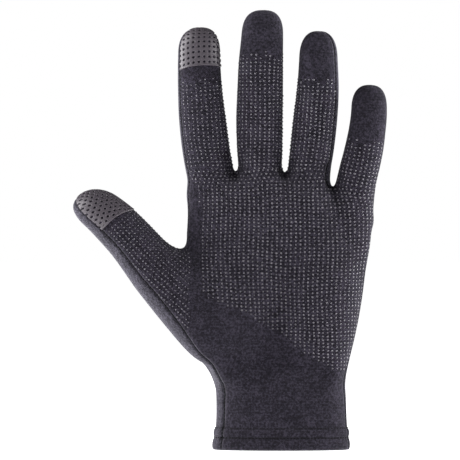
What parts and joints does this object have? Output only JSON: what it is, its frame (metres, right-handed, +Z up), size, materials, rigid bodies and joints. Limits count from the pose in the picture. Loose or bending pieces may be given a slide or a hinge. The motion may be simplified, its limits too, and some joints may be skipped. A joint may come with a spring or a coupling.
{
  "type": "touchscreen glove",
  "caption": "Left-hand stretch-knit glove with perforated touchscreen patches on the index finger and thumb, a dotted silicone grip print and a twin-stitched hem.",
  "frame": {"origin": "centre of the wrist opening, at the lower edge of the hem", "axes": "+Z up along the hand towards the middle fingertip, -Y out of the palm, -X towards the thumb"},
  "size_m": [0.1562, 0.0346, 0.2246],
  "materials": {
    "palm_knit": "brushed stretch knit, charcoal, matt",
    "back_knit": "heather charcoal stretch knit, matt",
    "hem_knit": "heather charcoal stretch knit, matt",
    "seam_thread": "black polyester overlock thread",
    "hem_thread": "charcoal polyester thread",
    "grip_print": "silicone, satin",
    "touch_patch": "perforated conductive synthetic, satin"
  },
  "bodies": {
    "hand": {"palm_panel_hand": "palm_knit", "back_panel_hand": "back_knit", "hem_turn_up": "hem_knit", "hem_stitching": "hem_thread", "side_seams_wrist": "seam_thread", "grip_print_palm": "grip_print", "grip_print_thumb_root": "grip_print"},
    "index_base": {"palm_panel_index_base": "palm_knit", "back_panel_index_base": "back_knit", "seam_index_base": "seam_thread", "grip_print_index_base": "grip_print"},
    "index_middle": {"palm_panel_index_middle": "palm_knit", "back_panel_index_middle": "back_knit", "seam_index_middle": "seam_thread", "grip_print_index_middle": "grip_print"},
    "index_tip": {"palm_panel_index_tip": "palm_knit", "back_panel_index_tip": "back_knit", "seam_index_tip": "seam_thread", "touch_patch_index": "touch_patch"},
    "middle_base": {"palm_panel_middle_base": "palm_knit", "back_panel_middle_base": "back_knit", "seam_middle_base": "seam_thread", "grip_print_middle_base": "grip_print"},
    "middle_middle": {"palm_panel_middle_middle": "palm_knit", "back_panel_middle_middle": "back_knit", "seam_middle_middle": "seam_thread", "grip_print_middle_middle": "grip_print"},
    "middle_tip": {"palm_panel_middle_tip": "palm_knit", "back_panel_middle_tip": "back_knit", "seam_middle_tip": "seam_thread"},
    "ring_base": {"palm_panel_ring_base": "palm_knit", "back_panel_ring_base": "back_knit", "seam_ring_base": "seam_thread", "grip_print_ring_base": "grip_print"},
    "ring_middle": {"palm_panel_ring_middle": "palm_knit", "back_panel_ring_middle": "back_knit", "seam_ring_middle": "seam_thread", "grip_print_ring_middle": "grip_print"},
    "ring_tip": {"palm_panel_ring_tip": "palm_knit", "back_panel_ring_tip": "back_knit", "seam_ring_tip": "seam_thread"},
    "little_base": {"palm_panel_little_base": "palm_knit", "back_panel_little_base": "back_knit", "seam_little_base": "seam_thread", "grip_print_little_base": "grip_print"},
    "little_middle": {"palm_panel_little_middle": "palm_knit", "back_panel_little_middle": "back_knit", "seam_little_middle": "seam_thread"},
    "little_tip": {"palm_panel_little_tip": "palm_knit", "back_panel_little_tip": "back_knit", "seam_little_tip": "seam_thread"},
    "thumb_base": {"palm_panel_thumb_base": "palm_knit", "back_panel_thumb_base": "back_knit", "seam_thumb_base": "seam_thread", "grip_print_thumb_base": "grip_print"},
    "thumb_tip": {"palm_panel_thumb_tip": "palm_knit", "back_panel_thumb_tip": "back_knit", "seam_thumb_tip": "seam_thread", "touch_patch_thumb": "touch_patch"}
  },
  "joints": [
    {"name": "index_base_bend", "type": "hinge", "parent": "hand", "child": "index_base", "pos_m": [-0.03826, -0.00938, 0.15178], "axis": [0.9973, 0, 0.0732], "range_deg": [0, 80], "stiffness_Nm_per_rad": 0.012},
    {"name": "index_middle_bend", "type": "hinge", "parent": "index_base", "child": "index_middle", "pos_m": [-0.03987, -0.0088, 0.17372], "axis": [0.9973, 0, 0.0732], "range_deg": [0, 90], "stiffness_Nm_per_rad": 0.008},
    {"name": "index_tip_bend", "type": "hinge", "parent": "index_middle", "child": "index_tip", "pos_m": [-0.04133, -0.00828, 0.19366], "axis": [0.9973, 0, 0.0732], "range_deg": [0, 60], "stiffness_Nm_per_rad": 0.005},
    {"name": "middle_base_bend", "type": "hinge", "parent": "hand", "child": "middle_base", "pos_m": [-0.01087, -0.00887, 0.1514], "axis": [0.9999, 0, -0.014], "range_deg": [0, 80], "stiffness_Nm_per_rad": 0.012},
    {"name": "middle_middle_bend", "type": "hinge", "parent": "middle_base", "child": "middle_middle", "pos_m": [-0.01051, -0.00895, 0.1774], "axis": [0.9999, 0, -0.014], "range_deg": [0, 90], "stiffness_Nm_per_rad": 0.008},
    {"name": "middle_tip_bend", "type": "hinge", "parent": "middle_middle", "child": "middle_tip", "pos_m": [-0.01019, -0.00859, 0.20039], "axis": [0.9999, 0, -0.014], "range_deg": [0, 60], "stiffness_Nm_per_rad": 0.005},
    {"name": "ring_base_bend", "type": "hinge", "parent": "hand", "child": "ring_base", "pos_m": [0.01535, -0.00851, 0.15077], "axis": [0.9965, 0, -0.0837], "range_deg": [0, 80], "stiffness_Nm_per_rad": 0.012},
    {"name": "ring_middle_bend", "type": "hinge", "parent": "ring_base", "child": "ring_middle", "pos_m": [0.01736, -0.00823, 0.17468], "axis": [0.9965, 0, -0.0837], "range_deg": [0, 90], "stiffness_Nm_per_rad": 0.008},
    {"name": "ring_tip_bend", "type": "hinge", "parent": "ring_middle", "child": "ring_tip", "pos_m": [0.01916, -0.00794, 0.19611], "axis": [0.9965, 0, -0.0837], "range_deg": [0, 60], "stiffness_Nm_per_rad": 0.005},
    {"name": "little_base_bend", "type": "hinge", "parent": "hand", "child": "little_base", "pos_m": [0.03913, -0.00815, 0.1416], "axis": [0.989, 0, -0.1478], "range_deg": [0, 80], "stiffness_Nm_per_rad": 0.012},
    {"name": "little_middle_bend", "type": "hinge", "parent": "little_base", "child": "little_middle", "pos_m": [0.04157, -0.00755, 0.15792], "axis": [0.989, 0, -0.1478], "range_deg": [0, 90], "stiffness_Nm_per_rad": 0.008},
    {"name": "little_tip_bend", "type": "hinge", "parent": "little_middle", "child": "little_tip", "pos_m": [0.04386, -0.00726, 0.17325], "axis": [0.989, 0, -0.1478], "range_deg": [0, 60], "stiffness_Nm_per_rad": 0.005},
    {"name": "thumb_base_bend", "type": "hinge", "parent": "hand", "child": "thumb_base", "pos_m": [-0.06319, -0.0119, 0.10393], "axis": [0.5296, 0.7071, 0.4685], "range_deg": [0, 40], "stiffness_Nm_per_rad": 0.012},
    {"name": "thumb_tip_bend", "type": "hinge", "parent": "thumb_base", "child": "thumb_tip", "pos_m": [-0.077, -0.01114, 0.1184], "axis": [0.5296, 0.7071, 0.4685], "range_deg": [0, 65], "stiffness_Nm_per_rad": 0.005}
  ],
  "couplings": [
    {"joint": "index_tip_bend", "follows": "index_middle_bend", "ratio": 0.666},
    {"joint": "middle_tip_bend", "follows": "middle_middle_bend", "ratio": 0.666},
    {"joint": "ring_tip_bend", "follows": "ring_middle_bend", "ratio": 0.666},
    {"joint": "little_tip_bend", "follows": "little_middle_bend", "ratio": 0.666}
  ]
}
